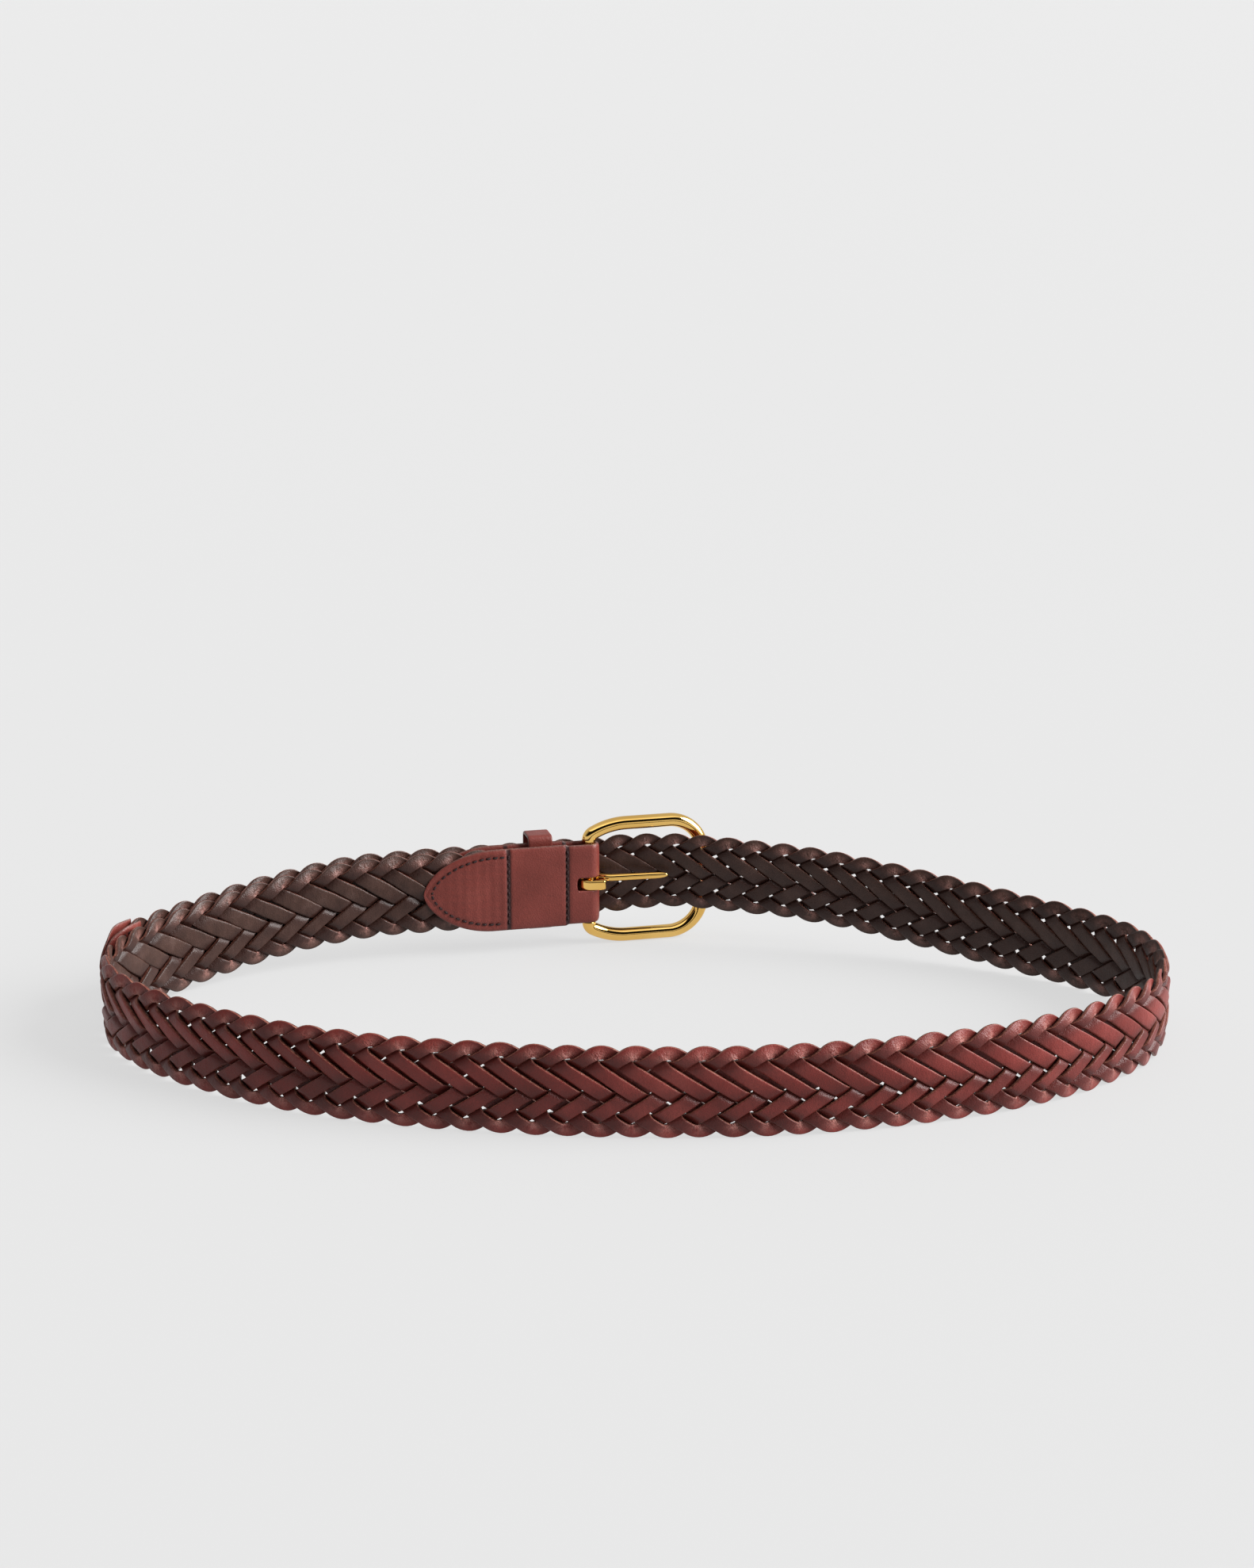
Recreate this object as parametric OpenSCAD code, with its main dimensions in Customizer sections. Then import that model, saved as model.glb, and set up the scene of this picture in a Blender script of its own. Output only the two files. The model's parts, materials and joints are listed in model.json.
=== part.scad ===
// A woven leather belt, buckled into a loop and standing on its edge.
// +Z is up. +X runs along the loop's length and +Y runs from the front of the loop to the buckle.

/* [Strap] */
// Width of the woven strap
strap_w = 30; // [29:0.5:30]
// Length of one scallop along the strap's edge
pitch = 10.35; // [10.2:0.05:10.5]
// Width of one leather strand
strand_w = 4.6; // [4.2:0.1:4.6]
// Thickness of one leather strand
strand_t = 1.7; // [1.4:0.1:1.7]

/* [Chape] */
// Thickness of the chape's leather
leaf_t = 2; // [1.8:0.1:2]
// Width of the chape
leaf_w = 31; // [30:0.5:31]
// Length of the chape from the heel bar to its point
leaf_len = 62; // [60:1:64]
// Width of the folded part, between the frame's sides
fold_w = 30; // [29:0.2:30]

/* [Buckle] */
// Diameter of the heel bar
bar_d = 3.6; // [3.4:0.1:3.6]
// Diameter of the frame's rod
rod_d = 5; // [4.6:0.1:5]
// Distance from the heel bar to the toe bar
toe_x = 43; // [42:0.5:44]
// Height of the frame at its widest
frame_h = 48; // [47.5:0.5:48.5]
// Length of the prong from the heel bar
prong_len = 31; // [29:0.5:31.5]
// How far the prong leans into the loop at rest, in degrees
prong_lean = 8; // [8:1:12]

/* [Keeper] */
// Width of the keeper along the strap
keeper_w = 9; // [8:0.2:9.4]
// Thickness of the keeper's leather
keeper_t = 1.3; // [1.2:0.1:1.3]

/* [Hidden] */

brown = "#6b3a35";
thread = "#4a2224";
gold = "#c9a24a";
steel = "#9a9a98";

// Where the heel bar stands, and which way the buckle points
bar_at = [-13.83, 88.86];
buckle_turn = 14;

// The strap's centre line from the heel bar, as stretches of [length, turn in degrees]
chape_run = [[70, 0]];
loop_run = [[40, 10.5], [44, 20.5], [30, 24], [36, 51], [26, 17], [95, 30], [103, 16.5], [92, 21.5],
    [58, 25], [40, 39.5], [40, 42], [32, 17], [102, 21.5], [20, -10]];
through_run = [[44, 34]];
free_run = [[70, 0], [40, 12], [40, 13], [24, 20], [18, 0]];
centre_line = concat(chape_run, loop_run, through_run, free_run);

function total(runs) = len(runs) == 0 ? 0 : [for (r = runs) r[0]] * [for (r = runs) 1];
toe_s = total(concat(chape_run, loop_run));
bar_s = toe_s + total(through_run);
end_s = total(centre_line);

// The free end lies outside the chape, this far from the heel bar's axis
thread_room = 0.8;
strap_t = 2 * strand_t + 0.1;
bore_r = bar_d / 2 + 0.05;
leaf_out = bore_r + leaf_t;
free_y = leaf_out + thread_room + strap_t / 2;

// The middle of the buckle stands half a frame high, and the rest of the strap rests on its edge
buckle_z = frame_h / 2;
lift_h = buckle_z - strap_w / 2;
lift_run = 110;

// Weave: seven rows of crossings between the edges, and a turn beyond the outer rows
turn_reach = 0.7;
row_gap = (strap_w - strand_w) / (6 + 2 * turn_reach);
step = pitch / 2;
weave_angle = atan2(row_gap, step);
half_cross = strand_w / 2 / sin(2 * weave_angle);
level_h = strand_t / 2 + 0.05;
// Over (1) or under (-1) at each of the sixteen steps of a strand; 0 is a turn at an edge
levels = [0, -1, 1, 1, 1, -1, -1, 1, 0, -1, 1, 1, -1, -1, -1, 1];
first_step = ceil(32 / step);
last_step = floor((end_s - 9.5) / step);

// Chape layout along the strap, from the heel bar
ogive_x = -36;
ogive_len = leaf_len + ogive_x;
ogive_r = (ogive_len * ogive_len + leaf_w * leaf_w / 4) / leaf_w;
braid_seam_x = -30.8;
fold_seam_x = -8.8;
slot_h = 5;
slot_end = -4.8;
stitch_d = 0.6;

keeper_x = -18.2;
keeper_room = free_y + strap_t / 2 + 0.3;
// The opening is tight under the chape and loose above it
keeper_low = leaf_w / 2 + 0.2;
keeper_high = leaf_w / 2 + 1.9;

tip_len = 18;
tip_t = 1.1;
tip_point = 13;
// The leaves meet in this last stretch
tip_closed = 7;

// --- Centre line ---------------------------------------------------------------------------

// The place after moving a length along an arc: [x, y, heading]
function advance(at, length, turn) =
    abs(turn) < 0.001
    ? [at[0] + length * cos(at[2]), at[1] + length * sin(at[2]), at[2]]
    : let (r = length * 180 / PI / turn)
        [at[0] + r * (sin(at[2] + turn) - sin(at[2])), at[1] - r * (cos(at[2] + turn) - cos(at[2])), at[2] + turn];

// The start of every stretch: [distance, x, y, heading]
function starts(runs, i, s, at) =
    i == len(runs)
    ? []
    : concat([concat([s], at)], starts(runs, i + 1, s + runs[i][0], advance(at, runs[i][0], runs[i][1])));

function buckle_point(x, y) =
    [bar_at[0] + x * cos(buckle_turn) - y * sin(buckle_turn), bar_at[1] + x * sin(buckle_turn) + y * cos(buckle_turn)];

line_starts = starts(centre_line, 0, 0, concat(bar_at, 180 + buckle_turn));

function rise(t) = let (c = min(max(t, 0), 1)) c * c * (3 - 2 * c);

function on_line(s) =
    let (i = max([for (k = [0:len(line_starts) - 1]) if (k == 0 || line_starts[k][0] <= s) k]))
    let (from = line_starts[i], run = centre_line[i], d = s - from[0])
    advance([from[1], from[2], from[3]], d, run[1] * d / run[0]);

// The front of the loop takes up what the round numbers leave open where the strap meets the buckle
through_r = through_run[0][0] * 180 / PI / through_run[0][1];
through_from = buckle_point(through_r * sin(through_run[0][1]), free_y - through_r * (1 - cos(through_run[0][1])));
reached = on_line(toe_s);
closing = through_from - [reached[0], reached[1]];
closing_from = 300;
closing_to = 560;

// Where the strap passes through the frame it rides higher and is drawn a little narrower
tongue_rise = 2.4;
tongue_narrow = 0.05;

function tongue(s) = rise((s - toe_s + 120) / 100) - rise((s - toe_s - 5) / 42);

function lift(s) =
    s < toe_s / 2
    ? lift_h * (1 - rise((s - 70) / lift_run))
    : lift_h * (rise((s - toe_s + 150) / 150) - rise((s - bar_s - 70) / lift_run)) + tongue_rise * tongue(s);

// A point of the strap: s along it, up from its middle, out from its middle
function strap_point(s, up, out) =
    let (at = on_line(s), shift = closing * rise((s - closing_from) / (closing_to - closing_from)))
    [at[0] + shift[0] + out * sin(at[2]), at[1] + shift[1] - out * cos(at[2]),
        strap_w / 2 + lift(s) + up * (1 - tongue_narrow * tongue(s))];

module at_buckle() {
    translate([bar_at[0], bar_at[1], buckle_z]) rotate([0, 0, buckle_turn]) children();
}

// The free end's last stretch is straight: x runs back from its end, y is outward
module at_tip() {
    place = strap_point(end_s, 0, 0);
    heading = on_line(end_s)[2];
    translate(place) rotate([0, 0, heading - 180]) children();
}

// --- Sweeps ----------------------------------------------------------------------------------

// Closes a list of rings, each with the same number of points, into one solid
module skin(rings) {
    n = len(rings[0]);
    last = len(rings) - 1;
    sides = [for (i = [0:last - 1], j = [0:n - 1])
        let (a = i * n + j, b = i * n + (j + 1) % n)
        each [[a, a + n, b], [b, a + n, b + n]]];
    caps = [[for (j = [0:n - 1]) j], [for (j = [n - 1:-1:0]) last * n + j]];
    polyhedron(points = [for (r = rings) each r], faces = concat(sides, caps), convexity = 10);
}

// --- Strands ---------------------------------------------------------------------------------

function level(k) = levels[(k + 16) % 16];

// Rings of a strand: [place along, height, level, cross direction along, cross direction up]
function crossing_rings(m, k) =
    let (down = k < 8, row = down ? k : 16 - k, way = down ? 1 : -1)
    let (along = cos(weave_angle) * half_cross, up = sin(weave_angle) * half_cross)
    [for (e = [-1, 0, 1])
        if (e == 0 ? level(k - 1) == level(k) && level(k + 1) == level(k) : level(k + e) != level(k))
            [m * step + e * along, (4 - row) * row_gap - way * e * up, level_h * level(k), way * along, up]];

function turn_rings(m, side) =
    let (reach = turn_reach * row_gap, up = half_cross * sin(weave_angle))
    let (along = step - half_cross * cos(weave_angle))
    [for (t = [-0.5, 0, 0.5])
        let (angle = 90 - side * t * (90 - weave_angle))
        let (half = strand_w / 2 + (half_cross - strand_w / 2) * t * t)
        [m * step + t * along, side * (3 * row_gap + reach - (reach - up) * t * t), -level_h * t,
            half * cos(angle), half * sin(angle)]];

function strand_rings(first) =
    [for (m = [first_step:last_step])
        let (k = (m + first) % 16)
        each k % 8 == 0 ? turn_rings(m, k == 0 ? 1 : -1) : crossing_rings(m, k)];

function strand_section(r) =
    let (half = strand_t / 2)
    [strap_point(r[0] + r[3], r[1] + r[4], r[2] - half), strap_point(r[0] + r[3], r[1] + r[4], r[2] + half),
        strap_point(r[0] - r[3], r[1] - r[4], r[2] + half), strap_point(r[0] - r[3], r[1] - r[4], r[2] - half)];

module strand(number) {
    color(brown) skin([for (r = strand_rings(2 * number)) strand_section(r)]);
}

// --- Chape -----------------------------------------------------------------------------------

// Straight body with a pointed end, in the plane of the leather
module leaf_outline() {
    reach = ogive_r - leaf_w / 2;
    intersection() {
        translate([ogive_x, reach]) circle(r = ogive_r, $fn = 128);
        translate([ogive_x, -reach]) circle(r = ogive_r, $fn = 128);
        translate([-leaf_len - 1, -leaf_w]) square([ogive_len + 1.5, 2 * leaf_w]);
    }
    translate([ogive_x, -leaf_w / 2]) square([fold_seam_x - ogive_x, leaf_w]);
    translate([fold_seam_x - 1, -fold_w / 2]) square([leaf_out + 2 - fold_seam_x, fold_w]);
}

// Two leaves joined by a fold round the heel bar
module fold_profile() {
    difference() {
        union() {
            circle(r = leaf_out, $fn = 64);
            translate([-leaf_len - 1, -leaf_out]) square([leaf_len + 1, 2 * leaf_out]);
        }
        circle(r = bore_r, $fn = 64);
        translate([-leaf_len - 2, -bore_r]) square([leaf_len + 2, 2 * bore_r]);
    }
}

module chape() {
    color(brown) at_buckle() difference() {
        intersection() {
            linear_extrude(height = leaf_w + 2, center = true) fold_profile();
            rotate([90, 0, 0]) linear_extrude(height = 4 * leaf_out, center = true) leaf_outline();
        }
        translate([slot_end, -2 * leaf_out, -slot_h / 2]) cube([20, 4 * leaf_out, slot_h]);
    }
}

// One stitch lies on a face of the leather, turned in its plane
module stitch(x, z, angle, side, length) {
    translate([x, side * (leaf_out + stitch_d / 2), z]) rotate([0, angle, 0])
        cylinder(d = stitch_d, h = length, center = true, $fn = 16);
}

module straight_seam(x, width) {
    count = 7;
    gap = width / count;
    color(thread) at_buckle()
        for (side = [-1, 1], i = [0:count - 1])
            stitch(x, (i - (count - 1) / 2) * gap, 0, side, gap * 0.7);
}

// The row of stitches follows the pointed end, inset from the edge
module edge_stitching() {
    inset = 3;
    r = ogive_r - inset;
    reach = ogive_r - leaf_w / 2;
    count = 9;
    sweep = acos(reach / r) - 4;
    color(thread) at_buckle()
        for (side = [-1, 1], half = [-1, 1], i = [0:count - 1]) {
            a = (i + 0.5) * sweep / count;
            stitch(ogive_x - r * sin(a), half * (r * cos(a) - reach), -half * a + 90, side, r * sweep / count * PI / 180 * 0.7);
        }
}

// --- Keeper ----------------------------------------------------------------------------------

module round_bar(x0, x1, y0, y1, r) {
    translate([x0 + r, y0]) square([x1 - x0 - 2 * r, y1 - y0]);
    translate([x0, y0 + r]) square([x1 - x0, y1 - y0 - 2 * r]);
    for (x = [x0 + r, x1 - r], y = [y0 + r, y1 - r]) translate([x, y]) circle(r = r, $fn = 32);
}

module along_keeper(length) {
    translate([keeper_x + length / 2, 0, 0]) rotate([0, -90, 0]) linear_extrude(height = length) children();
}

staple_half = 3;

// The loop goes between the leaves, over the outer leaf and round the free end
module keeper() {
    color(brown) at_buckle() difference() {
        along_keeper(keeper_w) difference() {
            round_bar(-keeper_low - keeper_t, keeper_high + keeper_t, -keeper_t / 2, keeper_room + keeper_t, 1.4);
            round_bar(-keeper_low, keeper_high, keeper_t / 2, keeper_room, 0.6);
        }
        for (z = [-staple_half, staple_half])
            translate([keeper_x, 0, z]) rotate([90, 0, 0]) cylinder(d = 0.8, h = 4, center = true, $fn = 24);
    }
}

// A wire staple joins the keeper's ends on its hidden leg
module keeper_staple() {
    wire = 0.7;
    back = -(keeper_t + wire) / 2;
    color(steel) at_buckle() {
        translate([keeper_x, back, 0]) cylinder(d = wire, h = 2 * staple_half, center = true, $fn = 24);
        for (z = [-staple_half, staple_half])
            translate([keeper_x, back, z]) {
                rotate([-90, 0, 0]) cylinder(d = wire, h = keeper_t, $fn = 24);
                sphere(d = wire, $fn = 24);
            }
    }
}

// --- Buckle ----------------------------------------------------------------------------------

heel_half = fold_w / 2 + 0.9 + rod_d / 2;
side_half = (frame_h - rod_d) / 2;
corner_r = 12.7;
heel_r = 3;
flare = 28;

// Half of the frame's rod, as stretches of [length, turn in degrees]: the heel's bend, the flare, the rail, the corner
heel_start = [0, heel_half - heel_r * cos(flare), 90];
heel_end = advance(heel_start, heel_r * (90 - flare) * PI / 180, flare - 90);
flare_len = (side_half - heel_end[1]) * (flare * PI / 180) / (1 - cos(flare));
rail_x = advance(heel_end, flare_len, -flare)[0];
frame_run = [[heel_r * (90 - flare) * PI / 180, flare - 90], [flare_len, -flare], [toe_x - corner_r - rail_x, 0],
    [corner_r * PI / 2, -90]];

// The rod's line from the heel to the middle of the toe: [x, z, direction]
function frame_path() =
    let (from = starts(frame_run, 0, 0, heel_start))
    concat([heel_start - [0, 0.6, 0]],
        [for (i = [0:len(from) - 1])
            let (turn = frame_run[i][1], steps = turn == 0 ? 1 : ceil(abs(turn) / 10))
            for (j = [0:steps - 1])
                advance([from[i][1], from[i][2], from[i][3]], frame_run[i][0] * j / steps, turn * j / steps)],
        [[toe_x, side_half - corner_r, -90]]);

function rod_section(p, flip) =
    [for (j = [0:9]) let (a = -36 * j, out = rod_d / 2 * cos(a), across = rod_d / 2 * 0.94 * sin(a))
        [p[0] - out * sin(p[2]), across, flip * (p[1] + out * cos(p[2]))]];

module buckle_frame() {
    upper = frame_path();
    count = len(upper);
    color(gold) at_buckle() {
        skin(concat([for (i = [0:count - 1]) rod_section(upper[i], 1)],
            [for (i = [count - 1:-1:0]) rod_section(upper[i], -1)]));
        cylinder(d = bar_d, h = 2 * (heel_half - rod_d / 2 + 1.5), center = true, $fn = 48);
    }
}

// The prong wraps the heel bar, with its flat end inside the loop and its shaft towards the toe
module prong() {
    wrap_r = leaf_out + 0.35;
    wrap_low = -2.3;
    root_r = 1.5;
    tip_r = 0.7;
    root = [1.6, 1.6, 0.85];
    length = prong_len - tip_r - root[0];
    fall = atan2(root[1], length);
    climb = 4;
    color(gold) at_buckle() rotate([0, 0, -prong_lean]) difference() {
        union() {
            translate([0, 0, wrap_low]) cylinder(r = wrap_r, h = root[2] + root_r - wrap_low, $fn = 48);
            translate([0, -wrap_r, wrap_low]) cube([6, 1.4, 3.6]);
            translate(root) rotate([0, 0, -fall]) rotate([0, 90 - climb, 0]) {
                cylinder(r1 = root_r, r2 = tip_r, h = length, $fn = 32);
                translate([0, 0, length]) sphere(r = tip_r, $fn = 32);
            }
        }
        cylinder(r = bore_r, h = 10, center = true, $fn = 48);
    }
}

// --- Tip of the free end -----------------------------------------------------------------------

// x runs from the end of the strap back along it
module tip_outline() {
    long = tip_point;
    width = strap_w;
    r = (long * long + width * width / 4) / width;
    intersection() {
        translate([long, r - width / 2]) circle(r = r, $fn = 96);
        translate([long, width / 2 - r]) circle(r = r, $fn = 96);
        translate([-1, -width]) square([long + 1.5, 2 * width]);
    }
    translate([long, -width / 2]) square([tip_len - long, width]);
}

// One leaf covers the strands' ends, and meets the other beyond them
module tip_leaf(side) {
    room = strap_t / 2 + 0.05;
    color(brown) at_tip() difference() {
        intersection() {
            rotate([90, 0, 0]) linear_extrude(height = 4 * strap_t, center = true) tip_outline();
            translate([-1, side > 0 ? 0 : -room - tip_t, -strap_w]) cube([tip_len + 2, room + tip_t, 2 * strap_w]);
        }
        translate([tip_closed, -room, -strap_w]) cube([tip_len, 2 * room, 2 * strap_w]);
    }
}

module tip_stitching() {
    count = 7;
    gap = strap_w / count;
    color(thread) at_tip()
        for (side = [-1, 1], i = [0:count - 1])
            translate([tip_len - 3, side * (strap_t / 2 + 0.05 + tip_t + stitch_d / 2), (i - (count - 1) / 2) * gap])
                cylinder(d = stitch_d, h = gap * 0.7, center = true, $fn = 16);
}

for (i = [1:8]) strand(i - 1);
chape();
edge_stitching();
straight_seam(braid_seam_x, leaf_w - 2);  // braid_seam
straight_seam(fold_seam_x, fold_w - 2);  // fold_seam
keeper();
keeper_staple();
buckle_frame();
prong();
tip_leaf(1);  // tip_outer
tip_leaf(-1);  // tip_inner
tip_stitching();
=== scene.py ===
"""The looks of a woven leather belt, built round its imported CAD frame.

The helpers work in millimetres in the belt's own frame. MM turns them into metres where a mesh is made.
"""
import json
import math

import bmesh
import bpy
import numpy as np
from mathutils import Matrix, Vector

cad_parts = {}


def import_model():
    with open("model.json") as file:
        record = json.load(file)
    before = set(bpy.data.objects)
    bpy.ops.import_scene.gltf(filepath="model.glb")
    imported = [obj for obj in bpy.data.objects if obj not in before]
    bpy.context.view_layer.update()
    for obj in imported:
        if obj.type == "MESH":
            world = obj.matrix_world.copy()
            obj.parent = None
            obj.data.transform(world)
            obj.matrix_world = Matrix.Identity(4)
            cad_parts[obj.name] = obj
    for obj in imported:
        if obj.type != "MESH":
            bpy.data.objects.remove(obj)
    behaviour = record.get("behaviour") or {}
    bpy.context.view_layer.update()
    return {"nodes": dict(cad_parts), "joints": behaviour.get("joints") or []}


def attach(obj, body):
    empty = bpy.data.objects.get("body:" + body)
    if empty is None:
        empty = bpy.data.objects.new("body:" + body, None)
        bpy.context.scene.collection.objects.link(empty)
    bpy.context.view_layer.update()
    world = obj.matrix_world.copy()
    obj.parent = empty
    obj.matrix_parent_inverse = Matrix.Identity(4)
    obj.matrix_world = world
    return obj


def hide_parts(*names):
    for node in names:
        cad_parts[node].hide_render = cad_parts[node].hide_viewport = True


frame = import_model()

MM = 0.001
rng = np.random.default_rng(11)

# ---- Design sizes, as in the CAD model -------------------------------------------------------------

# Strap and braid
STRAP_W = 30.0
PITCH = 10.35
STEP = PITCH / 2
STRAND_W = 4.6
TURN_REACH = 0.7
ROW = (STRAP_W - STRAND_W) / (6 + 2 * TURN_REACH)
WEAVE = math.atan2(ROW, STEP)
LEVELS = np.array([0, -1, 1, 1, 1, -1, -1, 1, 0, -1, 1, 1, -1, -1, -1, 1], float)

# The strap's centre line from the heel bar, round the loop, through the frame and on to its end: arcs as
# (length, turn in degrees). The first 15 reach the frame's toe and the next one passes through the frame.
RUNS = [(70, 0), (40, 10.5), (44, 20.5), (30, 24), (36, 51), (26, 17), (95, 30), (103, 16.5), (92, 21.5),
        (58, 25), (40, 39.5), (40, 42), (32, 17), (102, 21.5), (20, -10),
        (44, 34), (70, 0), (40, 12), (40, 13), (24, 20), (18, 0)]
TO_TOE = 15
TOE_S = sum(length for length, _ in RUNS[:TO_TOE])
BAR_S = TOE_S + RUNS[TO_TOE][0]
END_S = sum(length for length, _ in RUNS)
BUCKLE_TURN = math.radians(14)
LIFT = 9.0
LIFT_RUN = 110.0
TONGUE_RISE = 2.4
TONGUE_NARROW = 0.05

# Chape, its seams and the keeper, from the middle of the heel bar
BORE_R = 1.85
LEAF_T = 2.0
LEAF_OUT = BORE_R + LEAF_T
LEAF_LEN = 62.0
LEAF_HALF = 15.5
OGIVE_X = -36.0
FOLD_HALF = 15.0
THREAD_ROOM = 0.8
HALF_T = 1.75
FREE_Y = LEAF_OUT + THREAD_ROOM + HALF_T
BRAID_SEAM_X = -30.8
FOLD_SEAM_X = -8.8
KEEPER_X = -18.2
KEEPER_W = 9.0
KEEPER_T = 1.3
KEEPER_LOW = LEAF_HALF + 0.2
KEEPER_HIGH = LEAF_HALF + 1.9

# Frame and prong
FRAME_H = 48.0
ROD_D = 5.0
TOE_X = 43.0
CORNER_R = 12.7
HEEL_R = 3.0
FLARE = math.radians(28)
PRONG_LEN = 31.0
PRONG_LEAN = math.radians(8)

# Leather tip of the free end
TIP_LEN = 18.0
TIP_POINT = 13.0
TIP_CLOSED = 7.0
TIP_T = 1.1

hinge = next(j for j in frame["joints"] if j["name"] == "frame_swing")
BAR = np.array(hinge["pos_m"]) / MM


# ---- The strap's centre line -----------------------------------------------------------------------

def advance(x, y, heading, length, turn):
    """The place after an arc of that length and turn (radians)."""
    curve = np.where(np.abs(turn) < 1e-6, 1e-6, turn)
    radius = length / curve
    return (x + radius * (np.sin(heading + curve) - np.sin(heading)),
            y - radius * (np.cos(heading + curve) - np.cos(heading)), heading + turn)


def run_starts():
    """The distance, x, y and heading at the start of each arc."""
    at = (BAR[0], BAR[1], math.pi + BUCKLE_TURN)
    out = []
    s = 0.0
    for length, turn in RUNS:
        out.append((s, *at))
        at = tuple(float(v) for v in advance(*at, length, math.radians(turn)))
        s += length
    return np.array(out)


STARTS = run_starts()
RUN = np.array(RUNS, float)


def buckle_point(x, y):
    """A place in the buckle's frame, seen from above, moved into the belt's."""
    c, s = math.cos(BUCKLE_TURN), math.sin(BUCKLE_TURN)
    return np.array([BAR[0] + x * c - y * s, BAR[1] + x * s + y * c])


def smooth(t):
    """0 up to t = 0 and 1 from t = 1, with a soft step between."""
    c = np.clip(t, 0, 1)
    return c * c * (3 - 2 * c)


def on_line(s):
    """x, y and heading of the bare chain of arcs at distance s from the heel bar."""
    i = np.clip(np.searchsorted(STARTS[:, 0], s, side="right") - 1, 0, len(RUNS) - 1)
    done = s - STARTS[i, 0]
    return advance(STARTS[i, 1], STARTS[i, 2], STARTS[i, 3], done, np.radians(RUN[i, 1]) * done / RUN[i, 0])


def closing_gap():
    """What the chain of arcs lacks to reach the place where the strap enters the frame."""
    turn = math.radians(RUNS[TO_TOE][1])
    radius = RUNS[TO_TOE][0] / turn
    entry = buckle_point(radius * math.sin(turn), FREE_Y - radius * (1 - math.cos(turn)))
    return entry - np.array(on_line(TOE_S - 1e-9)[0:2])


CLOSING = closing_gap()
CLOSING_FROM = 300
CLOSING_RUN = 260
STRAIGHT = 70       # how far from the bar the strap stays at its full lift
FAR_RISE = 150      # the length over which the strap rises before the toe


def tongue(s):
    """1 where the strap passes through the frame, and 0 away from it."""
    return smooth((s - TOE_S + 120) / 100) - smooth((s - TOE_S - 5) / 42)


def held(s):
    """1 where the frame and the keeper press the strap flat against the chape, and 0 away from them."""
    return smooth((s - TOE_S) / 20) - smooth((s - BAR_S - 40) / 30)


def lift(s):
    """How far the strap's lower edge stands off the floor."""
    near = LIFT * (1 - smooth((s - STRAIGHT) / LIFT_RUN))
    far = LIFT * (smooth((s - TOE_S + FAR_RISE) / FAR_RISE) - smooth((s - BAR_S - STRAIGHT) / LIFT_RUN))
    return np.where(s < TOE_S / 2, near, far + TONGUE_RISE * tongue(s))


def strap_point(s, up, out):
    """Points of the strap: s along it, up from its middle, out from its middle."""
    x, y, heading = on_line(s)
    share = smooth((s - CLOSING_FROM) / CLOSING_RUN)
    px = x + CLOSING[0] * share + out * np.sin(heading)
    py = y + CLOSING[1] * share - out * np.cos(heading)
    pz = STRAP_W / 2 + lift(s) + up * (1 - TONGUE_NARROW * tongue(s))
    return np.stack([px, py, pz], -1)


def at_buckle(points):
    """Points in the buckle's frame (x to the toe, y outward, z up from its middle), moved to the belt."""
    points = np.asarray(points, float)
    c, s = math.cos(BUCKLE_TURN), math.sin(BUCKLE_TURN)
    x, y, z = points[..., 0], points[..., 1], points[..., 2]
    return np.stack([BAR[0] + x * c - y * s, BAR[1] + x * s + y * c, BAR[2] + z], -1)


def at_tip(points):
    """Points in the free end's frame (x back from its end, y outward, z up from its middle)."""
    points = np.asarray(points, float)
    end = strap_point(np.array(END_S), 0.0, 0.0)
    heading = float(on_line(np.array(END_S))[2]) - math.pi
    c, s = math.cos(heading), math.sin(heading)
    x, y, z = points[..., 0], points[..., 1], points[..., 2]
    return np.stack([end[0] + x * c - y * s, end[1] + x * s + y * c, end[2] + z], -1)


# ---- Mesh helpers ----------------------------------------------------------------------------------

def column(row):
    """A row of values, one for each ring of a sweep, stood up to meet the values across a ring."""
    return row[:, None]


def bell(x, width):
    """1 at x = 0, fading to both sides."""
    return np.exp(-(x / width) ** 2)


def section(count, round_across, round_thick):
    """A closed rounded bar as (across, thick) from -1 to 1. Smaller powers make squarer edges."""
    a = np.arange(count) * 2 * math.pi / count
    across = np.sign(np.cos(a)) * np.abs(np.cos(a)) ** round_across
    thick = np.sign(np.sin(a)) * np.abs(np.sin(a)) ** round_thick
    return across, thick


def leaf_section(count):
    """A flat leaf as (across, thick) from -1 to 1, with points all over its faces and rounded edges."""
    across = np.sin(np.linspace(-math.pi / 2, math.pi / 2, count))
    thick = np.sqrt(1 - np.abs(across) ** 16)
    return np.concatenate([across, across[-2:0:-1]]), np.concatenate([thick, -thick[-2:0:-1]])


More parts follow.
